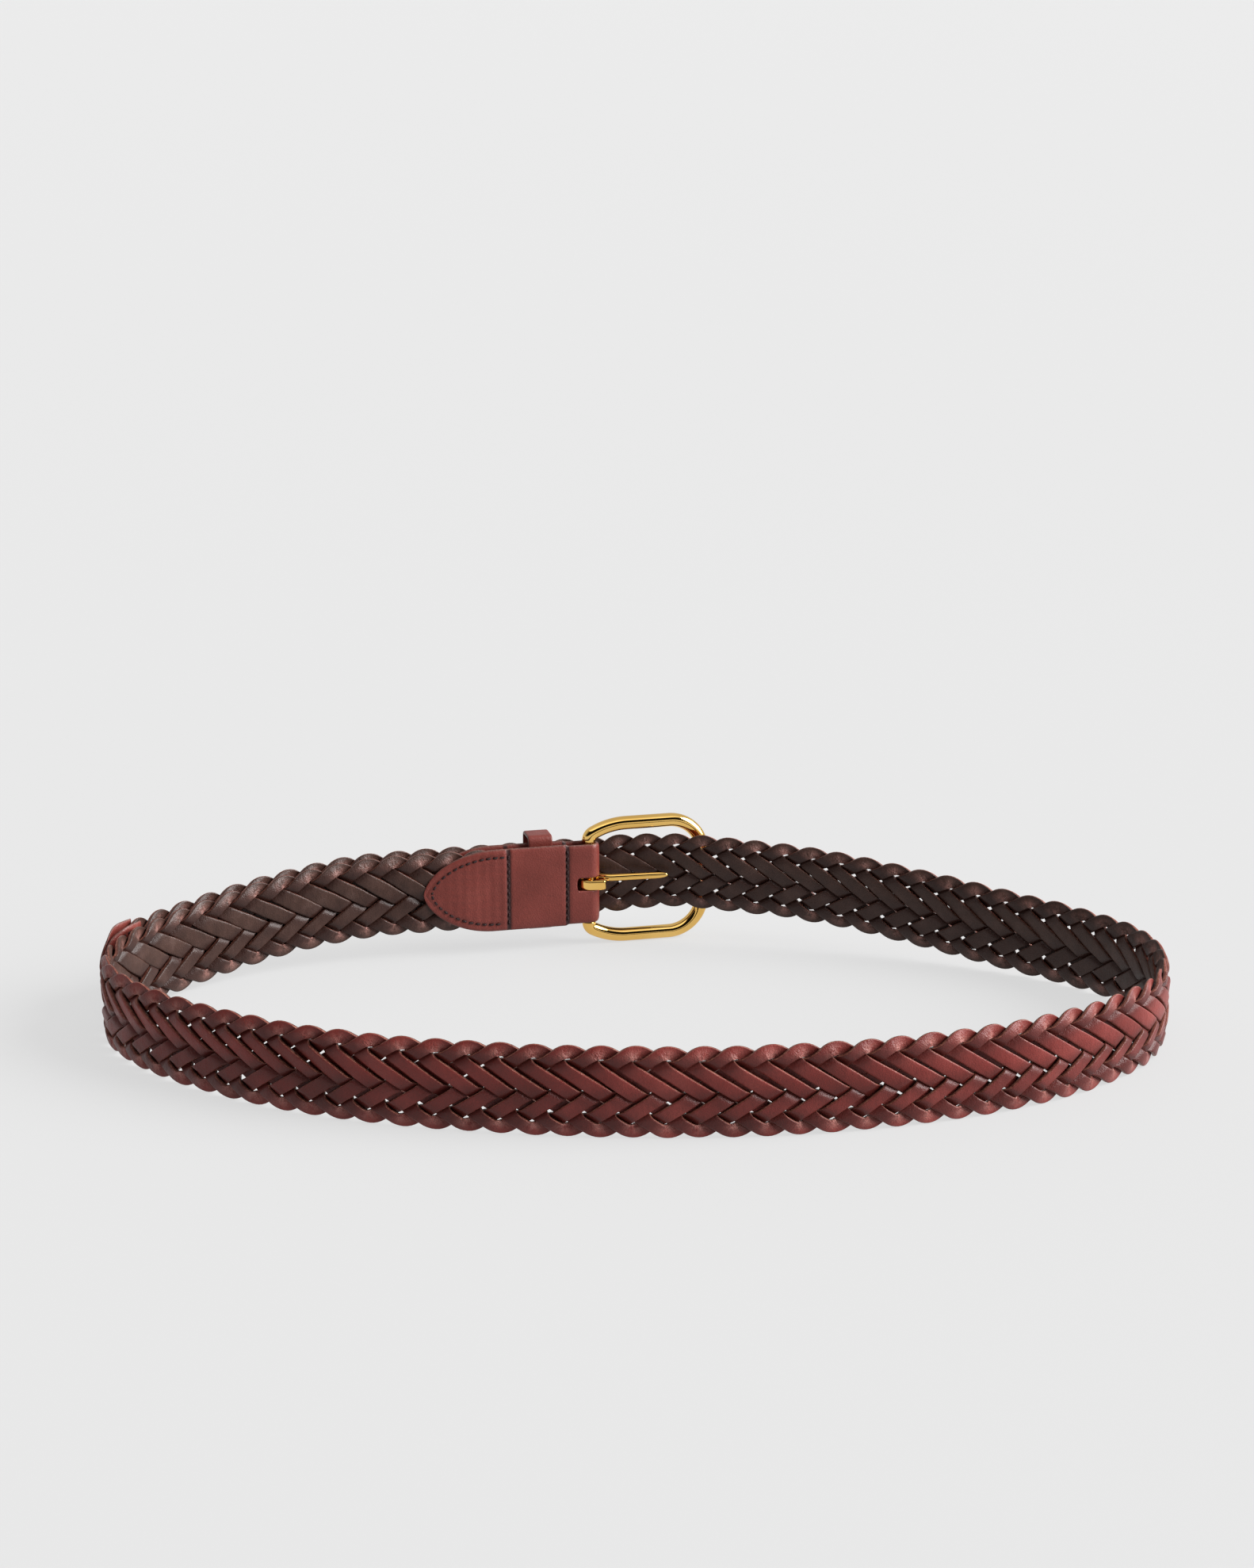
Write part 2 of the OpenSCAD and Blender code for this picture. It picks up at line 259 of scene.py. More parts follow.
def swept(name, rings, closed=False, marks=None):
    """One smooth mesh through rings of points. marks holds named values, one for each point."""
    rings = np.asarray(rings, float)
    count, size = rings.shape[:2]
    verts = (rings.reshape(-1, 3) * MM).tolist()
    spans = count if closed else count - 1
    i, j = np.meshgrid(np.arange(spans), np.arange(size), indexing="ij")
    here, there = i * size, ((i + 1) % count) * size
    k = (j + 1) % size
    faces = np.stack([here + j, there + j, there + k, here + k], -1).reshape(-1, 4).tolist()
    if not closed:
        faces.append(list(range(size)))
        faces.append([(count - 1) * size + corner for corner in range(size)][::-1])
    mesh = bpy.data.meshes.new(name)
    mesh.from_pydata(verts, [], faces)
    mesh.polygons.foreach_set("use_smooth", [True] * len(mesh.polygons))
    for key, values in (marks or {}).items():
        layer = mesh.attributes.new(key, "FLOAT", "POINT")
        layer.data.foreach_set("value", np.broadcast_to(values, rings.shape[:2]).astype(np.float32).ravel())
    mesh.update()
    piece = bpy.data.objects.new(name, mesh)
    bpy.context.scene.collection.objects.link(piece)
    face_outward(piece)
    return piece


def face_outward(piece):
    """Turns the faces outward."""
    bm = bmesh.new()
    bm.from_mesh(piece.data)
    bmesh.ops.recalc_face_normals(bm, faces=bm.faces)
    bm.to_mesh(piece.data)
    bm.free()


def joined(name, pieces):
    """One object from several."""
    with bpy.context.temp_override(active_object=pieces[0], selected_editable_objects=pieces):
        bpy.ops.object.join()
    pieces[0].name = name
    pieces[0].data.name = name
    return pieces[0]


def settle(piece, body, slot, material, *nodes):
    """Rides a piece on its body, with its material, in place of CAD nodes. slot is not used."""
    piece.data.materials.clear()
    piece.data.materials.append(material)
    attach(piece, body)
    if nodes:
        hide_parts(*nodes)
    return piece


# ---- Materials -------------------------------------------------------------------------------------

def fill_ramp(ramp, stops):
    """Sets a new colour ramp, which has two elements, to stops of (place, colour)."""
    for element, (at, colour) in zip(tuple(ramp.elements), (stops[0], stops[-1])):
        element.position = at
        element.color = (*colour, 1)
    for at, colour in stops[1:-1]:
        ramp.elements.new(at).color = (*colour, 1)


class Nodes:
    """Short calls for building one material."""

    def __init__(self, name):
        self.material = bpy.data.materials.new(name)
        self.material.use_nodes = True
        self.tree = self.material.node_tree
        self.shader = self.tree.nodes["Principled BSDF"]

    def add(self, kind, **settings):
        """A new shader node."""
        node = self.tree.nodes.new("ShaderNode" + kind)
        for key, value in settings.items():
            setattr(node, key, value)
        return node

    def link(self, out, into):
        self.tree.links.new(out, into)

    def mark(self, name):
        """A value stored on the mesh's points."""
        return self.add("Attribute", attribute_name=name).outputs["Fac"]

    def place(self):
        return self.add("TexCoord").outputs["Object"]

    def noise(self, scale, detail=4.0, rough=0.55, stretch=None):
        node = self.add("TexNoise")
        node.inputs["Scale"].default_value = scale
        node.inputs["Detail"].default_value = detail
        node.inputs["Roughness"].default_value = rough
        source = self.place()
        if stretch:
            scaled = self.add("Mapping")
            scaled.inputs["Scale"].default_value = stretch
            self.link(source, scaled.inputs["Vector"])
            source = scaled.outputs["Vector"]
        self.link(source, node.inputs["Vector"])
        return node.outputs["Fac"]

    def cells(self, scale):
        node = self.add("TexVoronoi")
        node.inputs["Scale"].default_value = scale
        self.link(self.place(), node.inputs["Vector"])
        return node.outputs["Distance"]

    def ramp(self, value, stops):
        """Colours along a value. stops are (value, colour)."""
        node = self.add("ValToRGB")
        fill_ramp(node.color_ramp, stops)
        self.link(value, node.inputs["Fac"])
        return node.outputs["Color"]

    def span(self, value, low, high, to_low, to_high):
        """The value moved from one range to another, and kept inside it."""
        node = self.add("MapRange")
        for key, number in zip(("From Min", "From Max", "To Min", "To Max"), (low, high, to_low, to_high)):
            node.inputs[key].default_value = number
        self.link(value, node.inputs["Value"])
        return node.outputs["Result"]

    def maths(self, kind, a, b):
        node = self.add("Math", operation=kind)
        for socket, value in zip(node.inputs, (a, b)):
            if isinstance(value, (int, float)):
                socket.default_value = value
            else:
                self.link(value, socket)
        return node.outputs["Value"]

    def mix(self, share, a, b):
        node = self.add("Mix", data_type="RGBA")
        for socket, value in zip((node.inputs[0], node.inputs[6], node.inputs[7]), (share, a, b)):
            if isinstance(value, (int, float)):
                socket.default_value = value
            elif isinstance(value, tuple):
                socket.default_value = (*value, 1)
            else:
                self.link(value, socket)
        return node.outputs[2]

    def bump(self, layers):
        """layers are (height, distance in metres), finest last."""
        normal = None
        for height, distance in layers:
            node = self.add("Bump")
            node.inputs["Distance"].default_value = distance
            self.link(height, node.inputs["Height"])
            if normal is not None:
                self.link(normal, node.inputs["Normal"])
            normal = node.outputs["Normal"]
        self.link(normal, self.shader.inputs["Normal"])

    def set(self, **values):
        for key, value in values.items():
            self.shader.inputs[key.replace("_", " ")].default_value = value


def strand_leather():
    """Red-brown grain outside, dark brown flesh inside and paler raw edges, with painted shade where the
    strands dive and a painted highlight on the puckers at their turns.
    """
    n = Nodes("strand_leather")
    broad = n.noise(38, 3)
    fine = n.noise(900, 5, 0.65)
    grain = n.ramp(broad, [(0.28, (0.104, 0.015, 0.011)), (0.50, (0.160, 0.022, 0.018)),
                           (0.74, (0.240, 0.044, 0.036))])
    speckled = n.mix(n.span(fine, 0.3, 0.7, 0.0, 0.35), grain, (0.075, 0.012, 0.009))
    flesh = n.ramp(n.noise(160, 5, 0.6), [(0.28, (0.030, 0.013, 0.009)), (0.55, (0.048, 0.022, 0.016)),
                                          (0.80, (0.076, 0.041, 0.033))])
    faced = n.mix(n.span(n.mark("outer"), -0.25, 0.25, 0, 1), flesh, speckled)
    raw = n.ramp(n.noise(700, 4, 0.7), [(0.3, (0.110, 0.030, 0.020)), (0.68, (0.340, 0.145, 0.100))])
    # Painted shade: a near-black brown laid over the strand where it dives under its neighbours.
    leather_look = n.mix(n.maths("MULTIPLY", n.mark("dive_shade"), 0.6), faced, (0.018, 0.005, 0.004))
    rim = n.maths("MULTIPLY", n.span(n.mark("rim"), 0.93, 0.985, 0, 1), n.span(fine, 0.35, 0.6, 0.15, 0.85))
    outside = n.span(n.mark("outer"), -0.9, 0.3, 0.0, 1)
    worn = n.mix(n.maths("MULTIPLY", rim, outside), leather_look, raw)
    # Painted highlight: a pale pink sheen laid over the puckers at the inner side of each turn. The same
    # mask also drives their wrinkle bumps.
    pucker_and_sheen = n.maths("MULTIPLY", n.mark("pucker_and_sheen"), n.span(n.noise(420, 3), 0.36, 0.6, 0.1, 0.85))
    n.link(n.mix(pucker_and_sheen, worn, (0.420, 0.200, 0.170)), n.shader.inputs["Base Color"])
    n.link(n.span(n.noise(220, 4), 0.3, 0.7, 0.32, 0.48), n.shader.inputs["Roughness"])
    wrinkles = n.maths("MULTIPLY", n.mark("pucker_and_sheen"), n.noise(1300, 2, 0.5))
    creases = n.noise(260, 5, 0.6, (1, 1, 0.35))
    pores = n.cells(2300)
    n.bump([(broad, 0.0005), (creases, 0.0003), (wrinkles, 0.0012), (pores, 0.00006), (fine, 0.00008)])
    n.set(Specular_IOR_Level=0.25)
    return n.material


def smooth_leather():
    """Waxed red-brown leather with a fine grain, dark seams and dull raw edges."""
    n = Nodes("chape_leather")
    broad = n.noise(55, 4)
    pores = n.cells(1700)
    fine = n.noise(1100, 5, 0.6)
    face = n.ramp(broad, [(0.30, (0.118, 0.021, 0.015)), (0.52, (0.152, 0.028, 0.021)),
                          (0.74, (0.192, 0.041, 0.031))])
    mottled = n.mix(n.span(fine, 0.35, 0.7, 0.0, 0.35), face, (0.095, 0.016, 0.012))
    sewn = n.mix(n.span(n.mark("seam"), 0.15, 0.6, 0, 0.92), mottled, (0.016, 0.004, 0.004))
    raw = n.ramp(fine, [(0.35, (0.060, 0.022, 0.017)), (0.65, (0.150, 0.064, 0.050))])
    edged = n.mix(n.span(n.mark("rim"), 0.965, 0.995, 0, 0.9), sewn, raw)
    n.link(edged, n.shader.inputs["Base Color"])
    n.link(n.span(n.noise(180, 4), 0.3, 0.7, 0.36, 0.50), n.shader.inputs["Roughness"])
    n.bump([(broad, 0.0003), (pores, 0.00007), (fine, 0.00005)])
    n.set(Specular_IOR_Level=0.30)
    return n.material


def waxed_thread():
    """Dark twisted thread."""
    n = Nodes("thread")
    twist = n.add("TexWave", wave_type="BANDS", bands_direction="DIAGONAL")
    twist.inputs["Scale"].default_value = 900
    n.link(n.place(), twist.inputs["Vector"])
    plies = n.ramp(twist.outputs["Fac"], [(0.2, (0.008, 0.002, 0.002)), (0.9, (0.030, 0.006, 0.006))])
    n.link(plies, n.shader.inputs["Base Color"])
    n.bump([(twist.outputs["Fac"], 0.0001)])
    n.set(Roughness=0.6, Specular_IOR_Level=0.25)
    return n.material


def polished_brass():
    """Warm polished brass with faint smears and hairline wear."""
    n = Nodes("brass")
    smear = n.noise(60, 4)
    hair = n.noise(1500, 3, 0.6, (1, 1, 0.06))
    gold = n.ramp(smear, [(0.3, (0.78, 0.47, 0.12)), (0.7, (0.88, 0.57, 0.18))])
    n.link(gold, n.shader.inputs["Base Color"])
    worn = n.maths("ADD", smear, n.maths("MULTIPLY", hair, 0.3))
    n.link(n.span(worn, 0.4, 0.95, 0.04, 0.10), n.shader.inputs["Roughness"])
    n.bump([(smear, 0.00002)])
    n.set(Metallic=1.0)
    return n.material


def bright_wire():
    """Drawn steel wire."""
    n = Nodes("staple_steel")
    drawn = n.noise(800, 3, 0.6, (1, 1, 0.1))
    steel = n.ramp(drawn, [(0.3, (0.42, 0.42, 0.41)), (0.7, (0.62, 0.62, 0.60))])
    n.link(steel, n.shader.inputs["Base Color"])
    n.link(n.span(drawn, 0.3, 0.7, 0.22, 0.42), n.shader.inputs["Roughness"])
    n.set(Metallic=1.0)
    return n.material


# ---- Strands ---------------------------------------------------------------------------------------

VIS_W = 4.85            # a strand's width, before what its place in the braid adds or takes
VIS_T = 1.6
OVER_NARROWS = 0.34     # by how much it is narrower on top of another and wider under it
EDGE_NARROWS = 0.40     # narrower towards the strap's edges
HIDDEN_WIDENS = 0.42    # wider along a long run underneath
MIDDLE_WIDENS = 0.28    # wider just above the strap's middle, where no holes show
LEVEL_H = 0.9           # how far its middle stands from the strap's
BELLY = 0.36            # the bulge of a long run
CROWN = 0.30            # the rounding of its face
ROLL = 0.34             # how far one edge rises and the other sinks
CURL = 0.55             # how far its outer edge closes on the strap's middle at a turn
RIPPLE = 0.20           # the puckers at the inner side of a turn
RIPPLE_PITCH = 1.1
PRESSED = 0.2           # the share of its relief lost under the frame and the keeper
PER_STEP = 7            # rings for each step of the weave
BRAID_FROM = 32         # from the bar to where the strands begin, inside the chape
BRAID_SHORT = 9.5       # from where they end, inside the tip, to the end of the belt
FIRST_STEP = math.ceil(BRAID_FROM / STEP)
LAST_STEP = math.floor((END_S - BRAID_SHORT) / STEP)
TURN_HALF = 1 - (STRAND_W / 2 / math.sin(2 * WEAVE)) * math.cos(WEAVE) / STEP
TURN_DROP = (TURN_REACH - (1 - TURN_HALF)) * ROW


def blur(values, width):
    """A Gaussian blur of a row of values."""
    reach = int(4 * width)
    x = np.arange(-reach, reach + 1)
    kernel = np.exp(-0.5 * (x / width) ** 2)
    padded = np.pad(values, reach, mode="edge")
    return np.convolve(padded, kernel / kernel.sum(), mode="valid")


def strand_line(first):
    """Along a strand: place, height, level, cross angle, steps from the nearest turn, the edge it turns at
    and how far it is through that turn, from -1 to 1."""
    u = np.arange(FIRST_STEP * PER_STEP, LAST_STEP * PER_STEP + 1) / PER_STEP
    k = u + first
    turn = np.round(k / 8) * 8
    side = np.where(np.mod(turn, 16) == 0, 1.0, -1.0)
    v = k - turn
    t = np.clip(v / TURN_HALF, -1, 1)
    straight = side * (3 * ROW - (np.abs(v) - 1) * ROW)
    bent = side * (3 * ROW + TURN_REACH * ROW - TURN_DROP * t * t)
    height = np.where(np.abs(v) > TURN_HALF, straight, bent)
    angle = math.pi / 2 - side * t * (math.pi / 2 - WEAVE)
    below = np.floor(k).astype(int)
    part = k - below
    a, b = LEVELS[below % 16], LEVELS[(below + 1) % 16]
    level = a + (b - a) * smooth((part - 0.2) / 0.6)
    level = np.where(np.abs(v) < 1, -np.sin(np.clip(v, -1, 1) * math.pi / 2), level)
    return u * STEP, height, level, angle, v, side, t


def seeded(count, steps):
    """A smooth random row with a spread of one, changing over that many steps of the weave."""
    row = blur(rng.normal(0, 1, count), steps * PER_STEP)
    return row / row.std()


def strand(number, material):
    """One strand of the braid, with its marks: outer face, raw edges, puckers with their painted highlight,
    and the painted shade where it dives.
    """
    s, height, level, angle, near, side, t = strand_line(2 * number)
    turning = smooth(1 - np.abs(near))
    across, thick = section(22, 0.16, 0.36)
    belly = blur(level, 0.95 * PER_STEP)
    wander = seeded(len(s), 2.5)
    breadth = 1 + 0.03 * seeded(len(s), 2.0)
    s = s + 0.22 * seeded(len(s), 1.5)
    height = height + 0.16 * seeded(len(s), 1.5) * smooth(np.abs(near) / 2)
    roll = ROLL + 0.14 * seeded(len(s), 1.2)
    edge = smooth(2 - np.abs(near))
    hidden_run = smooth((-belly - 0.55) / 0.35)
    middle = bell(height - ROW / 2, 1.1 * ROW)
    width = VIS_W - OVER_NARROWS * level - EDGE_NARROWS * edge
    width = (width + HIDDEN_WIDENS * hidden_run + MIDDLE_WIDENS * middle) * breadth
    half = width / 2 * (1 + (1 / math.sin(2 * WEAVE) - 1) * t * t)
    reach = column(half) * across
    place = column(s) + reach * np.cos(column(angle))
    up = column(height) + reach * np.sin(column(angle))
    outer = across * column(side)
    out = column(LEVEL_H * level + BELLY * belly + 0.08 * wander) + VIS_T / 2 * thick
    out = out + CROWN * column(level) * (1 - across ** 2) + column(roll * level * (1 - turning)) * across
    curl = column(turning) * np.clip(outer, 0, 1) ** 2
    out = out - CURL * curl * np.sign(out) * np.minimum(np.abs(out), 1)
    out = out * (1 - PRESSED * column(held(s)))
    ripple = column(turning) * np.clip(-outer, 0, 1) ** 1.5
    out = out + RIPPLE * ripple * np.sin(column(s) * 2 * math.pi / RIPPLE_PITCH)
    marks = {
        "outer": thick,
        "rim": np.abs(across),
        # the puckers' mask, for their wrinkle bumps and their painted highlight
        "pucker_and_sheen": ripple,
        # the mask of the painted shade where the strand dives under its neighbours
        "dive_shade": column((1 - smooth(np.abs(belly) / 0.75)) * (1 - turning)),
    }
    piece = swept(f"woven_strand_{number + 1}", strap_point(place, up, out), marks=marks)
    return settle(piece, "strap", "strand_leather", material, f"strand_{number + 1}")


# ---- Chape -----------------------------------------------------------------------------------------

OGIVE_LEN = LEAF_LEN + OGIVE_X
THINNED = 0.55          # the share of its thickness that the leather loses towards the point
BRAID_PRINT = 5.7       # the pitch of the braid showing through the leather
SLOT_HALF = 2.5
SLOT_BACK = -4.5        # where the prong's slot starts to round off
SLOT_ROUND = 0.8


def leaf_half(x):
    """Half the chape's width at x, with a rounded point."""
    fold = LEAF_HALF - (LEAF_HALF - FOLD_HALF) * smooth((x - FOLD_SEAM_X) / 1.2 + 0.5)
    back = np.clip((OGIVE_X - x) / OGIVE_LEN, 0, 1)
    return np.maximum(np.where(x < OGIVE_X, LEAF_HALF * (1 - back ** 2) ** 0.6, fold), 0.25)


def skived(x):
    """The share of its thickness that the leather keeps at x."""
    return 1 - THINNED * smooth((OGIVE_X - 8 - x) / 16)


def leaf_relief(x, z):
    """How far the outer face stands out or sinks, by its seams, its braid and its padding."""
    edge = leaf_half(x) - np.abs(z)
    sewn = smooth((OGIVE_X + 8 - x) / 4)
    seams = -0.42 * bell(x - BRAID_SEAM_X, 0.9) - 0.40 * bell(x - FOLD_SEAM_X, 0.9)
    row = -0.26 * bell(edge - 2.8, 0.7) * smooth((BRAID_SEAM_X - 2 - x) / 3)
    padding = 0.30 * smooth(edge / 6) * sewn
    bay = 0.16 * np.cos(np.clip((x - KEEPER_X) / 11, -1, 1) * math.pi / 2) * smooth(edge / 5)
    wave = 2 * math.pi / BRAID_PRINT
    braid = 0.07 * sewn * np.sin((x * 0.83 + z) * wave) * np.sin((x * 0.83 - z) * wave)
    return seams + row + padding + bay + braid


def fold_path():
    """x, y and outward direction along the leather's middle, from one point round the bar to the other."""
    point = -LEAF_LEN + 6 * np.linspace(0, 1, 26)[:-1] ** 2
    straight = np.concatenate([point, np.linspace(-LEAF_LEN + 6, 0, 130)[:-1]])
    turn = np.linspace(-math.pi / 2, math.pi / 2, 30)
    mid = BORE_R + LEAF_T / 2
    x = np.concatenate([straight, mid * np.cos(turn), straight[::-1]])
    y = np.concatenate([np.full(len(straight), -mid), mid * np.sin(turn), np.full(len(straight), mid)])
    quarter = np.full(len(straight), math.pi / 2)
    return x, y, np.concatenate([-quarter, turn, quarter])


def chape(material):
    """The folded leather, with its seams marked and the prong's slot cut."""
    x, y, angle = fold_path()
    across, thick = leaf_section(70)
    z = column(leaf_half(np.minimum(x, 0))) * across
    skive = column(skived(x))
    outward = -LEAF_T / 2 + LEAF_T * skive * (thick + 1) / 2
    outward = outward + np.clip(thick, 0, 1) * leaf_relief(column(x), z) * skive
    px = column(x) + outward * np.cos(column(angle))
    py = column(y) + outward * np.sin(column(angle))
    rings = at_buckle(np.stack([px, py, z], -1))
    dark = bell(column(x) - BRAID_SEAM_X, 0.75) + bell(column(x) - FOLD_SEAM_X, 0.7)
    piece = swept("chape_leather", rings, marks={"rim": np.abs(across), "seam": dark})
    cut_slot(piece)
    return settle(piece, "strap", "chape_leather", material, "chape")


def cut_slot(piece):
    """The prong's slot, a hole with a rounded end through both leaves and the fold."""
    past_fold, past_leaves = 6.0, 8.0
    outline = [(past_fold, -SLOT_HALF), (past_fold, SLOT_HALF)]
    for a in np.linspace(0, math.pi, 13):
        outline.append((SLOT_BACK - SLOT_ROUND * math.sin(a), SLOT_HALF * math.cos(a)))
    rings = [at_buckle([(x, y, z) for x, z in outline]) for y in (-past_leaves, past_leaves)]
    cutter = swept("slot_cutter", rings)
    cut = piece.modifiers.new("slot", "BOOLEAN")
    cut.operation = "DIFFERENCE"
    cut.object = cutter
    cut.solver = "EXACT"
    with bpy.context.temp_override(object=piece, active_object=piece):
        bpy.ops.object.modifier_apply(modifier=cut.name)
    bpy.data.objects.remove(cutter)


# ---- Stitches --------------------------------------------------------------------------------------

STITCH_R = 0.42


def stitch(row):
    """Rings of a short thread that rises from the leather, runs along it and dips again. row is its two ends
    as (x, z), the side it lies on and the height of that face."""
    (x0, z0), (x1, z1), side, y = row
    t = np.linspace(0, 1, 9)
    arc = np.sqrt(np.clip(1 - (2 * t - 1) ** 4, 0, 1))
    line = np.stack([x0 + (x1 - x0) * t, side * (y - 0.45 + 0.55 * arc), z0 + (z1 - z0) * t], -1)
    along = np.array([x1 - x0, 0, z1 - z0]) / math.hypot(x1 - x0, z1 - z0)
    beside = np.array([-along[2], 0, along[0]])
    a = np.arange(8) * math.pi / 4
    ring = STITCH_R * (column(np.cos(a)) * beside + 0.85 * column(np.sin(a)) * np.array([0, 1.0, 0]))
    slim = 0.72 + 0.28 * np.sin(math.pi * t)
    return line[:, None, :] + slim[:, None, None] * ring[None, :, :]


def stitches(name, rows, material, node, place=at_buckle):
    """All the stitches of one seam, as one piece."""
    made = [swept(f"{name}_{i}", place(stitch(row))) for i, row in enumerate(rows)]
    return settle(joined(name, made), "strap", "thread", material, node)


def straight_rows(x, half, count, height):
    """A seam across the strap, on both faces, its stitches leaning a little to and fro."""
    gap = 2 * half / count
    rows = []
    for side in (-1, 1):
        for i in range(count):
            lean = 0.12 * (-1) ** i
            low, high = -half + (i + 0.12) * gap, -half + (i + 0.88) * gap
            rows.append(((x + lean, low), (x - lean, high), side, height))
    return rows


def edge_line(inset):
    """Points along the pointed end, inset from its edge, from the seam's top round the tip to its bottom."""
    x = OGIVE_X - OGIVE_LEN * np.sin(np.linspace(0, math.pi / 2, 80))
    half = leaf_half(x)
    outline = np.concatenate([np.stack([x, half], -1), np.stack([x, -half], -1)[-2::-1]])
    ahead = np.gradient(outline, axis=0)
    ahead /= np.linalg.norm(ahead, axis=1)[:, None]
    line = outline + inset * np.stack([-ahead[:, 1], ahead[:, 0]], -1)
    ends = np.array([[BRAID_SEAM_X - 1, LEAF_HALF - inset]])
    return np.concatenate([ends, line[line[:, 0] > -LEAF_LEN + inset - 0.1], ends * np.array([1, -1])])


def edge_rows(inset=2.9, gap=2.55, share=0.74):
    """The row that follows the pointed end, on both faces."""
    line = edge_line(inset)
    gone = np.concatenate([[0], np.cumsum(np.linalg.norm(np.diff(line, axis=0), axis=1))])

    def place(s):
        return float(np.interp(s, gone, line[:, 0])), float(np.interp(s, gone, line[:, 1]))

    rows = []
    for side in (-1, 1):
        for s in np.arange(0.4, gone[-1] - gap, gap):
            a, b = place(s), place(s + share * gap)
            rows.append((a, b, side, BORE_R + LEAF_T * float(skived((a[0] + b[0]) / 2))))
    return rows


# ---- Keeper ----------------------------------------------------------------------------------------

def loop_path(z_low, z_high, y_low, y_high, radius):
    """A rounded rectangle in the plane across the strap: rows of y, z and outward direction."""
    out = []
    for cy, cz, start in ((y_high - radius, z_high - radius, 0), (y_low + radius, z_high - radius, 90),
                          (y_low + radius, z_low + radius, 180), (y_high - radius, z_low + radius, 270)):
        for a in np.radians(np.linspace(start, start + 90, 8)):
            out.append((cy + radius * math.cos(a), cz + radius * math.sin(a), a))
    dense = []
    for p, q in zip(out, out[1:] + out[:1]):
        long = math.hypot(q[0] - p[0], q[1] - p[1])
        turn = (q[2] - p[2] + math.pi) % (2 * math.pi) - math.pi
        for t in np.arange(0, 1, 1 / max(1, int(long / 1.2))):
            dense.append((p[0] + (q[0] - p[0]) * t, p[1] + (q[1] - p[1]) * t, p[2] + turn * t))
    return np.array(dense)


def keeper(material):
    """A leather loop round the chape's outer leaf and the free end. Its outer leg bows a little."""
    room = FREE_Y + HALF_T + 0.3
    mid = KEEPER_T / 2
    path = loop_path(-KEEPER_LOW - mid, KEEPER_HIGH + mid, 0.0, room + mid, 1.5)
    across, thick = section(36, 0.16, 0.55)
    turn = column(path[:, 2])
    bow = 0.16 * np.cos(path[:, 1] * math.pi / 34)
    off = mid * thick + column(bow) * (np.cos(turn) > 0.5)
    x = KEEPER_X + KEEPER_W / 2 * across + 0 * off
    y = column(path[:, 0]) + off * np.cos(turn)
    z = column(path[:, 1]) + off * np.sin(turn)
    rings = at_buckle(np.stack([x, y, z], -1))
    piece = swept("keeper_leather", rings, closed=True, marks={"rim": np.abs(across)})
    return settle(piece, "keeper", "chape_leather", material, "keeper")


# ---- Buckle ----------------------------------------------------------------------------------------

HEEL_GAP = 0.9
HEEL_HALF = FOLD_HALF + HEEL_GAP + ROD_D / 2
SIDE_HALF = (FRAME_H - ROD_D) / 2
BAR_R = 1.8


def frame_line():
    """The rod from the heel to the start of the toe: rows of x, z and direction. It bends at the heel,
    flares, runs straight and turns the corner."""
    at = (0.0, HEEL_HALF - HEEL_R * math.cos(FLARE), math.pi / 2)
    rows = [(0.0, at[1] - 0.6, math.pi / 2)]

    def go(length, turn, count):
        nonlocal at
        for i in range(count):
            rows.append(tuple(float(v) for v in advance(*at, length * i / count, turn * i / count)))
        at = tuple(float(v) for v in advance(*at, length, turn))

    bend = math.pi / 2 - FLARE
    go(HEEL_R * bend, -bend, 12)
    go((SIDE_HALF - at[1]) * FLARE / (1 - math.cos(FLARE)), -FLARE, 12)
    go(TOE_X - CORNER_R - at[0], 0.0, 8)
    go(CORNER_R * math.pi / 2, -math.pi / 2, 24)
    return np.array(rows + [at])


def buckle_frame(material):
    """A round rod bent into a D, with its heel bar cast in."""
    x, z, heading = (column(values) for values in frame_line().T)
    a = np.arange(28) * 2 * math.pi / 28
    out = ROD_D / 2 * np.cos(a)
    side = ROD_D / 2 * np.sin(a)
    upper = np.stack([x - out * np.sin(heading), side + 0 * x, z + out * np.cos(heading)], -1)
    down = np.linspace(0, 2 * (CORNER_R - SIDE_HALF), 10)[1:-1]
    toe = upper[-1][None] + down[:, None, None] * np.array([0, 0, 1.0])
    lower = upper[::-1] * np.array([1, 1, -1])
    rod = swept("frame_rod", at_buckle(np.concatenate([upper, toe, lower])))
    angle = np.arange(32) * 2 * math.pi / 32
    reach = HEEL_HALF - ROD_D / 2 + 1.5
    rings = [np.stack([BAR_R * np.cos(angle), BAR_R * np.sin(angle), z + 0 * angle], -1)
             for z in np.linspace(-reach, reach, 12)]
    bar = swept("heel_bar", at_buckle(rings))
    piece = joined("brass_frame", [rod, bar])
    return settle(piece, "frame", "brass", material, "buckle_frame")


SHAFT_LEN = PRONG_LEN - 1.5
TAB_LEN = 6.0


def prong_place(points):
    """Points in the prong's own frame, leaned into the loop and moved to the buckle."""
    points = np.asarray(points, float)
    c, s = math.cos(-PRONG_LEAN), math.sin(-PRONG_LEAN)
    x, y, z = points[..., 0], points[..., 1], points[..., 2]
    return at_buckle(np.stack([x * c - y * s, x * s + y * c, z], -1))


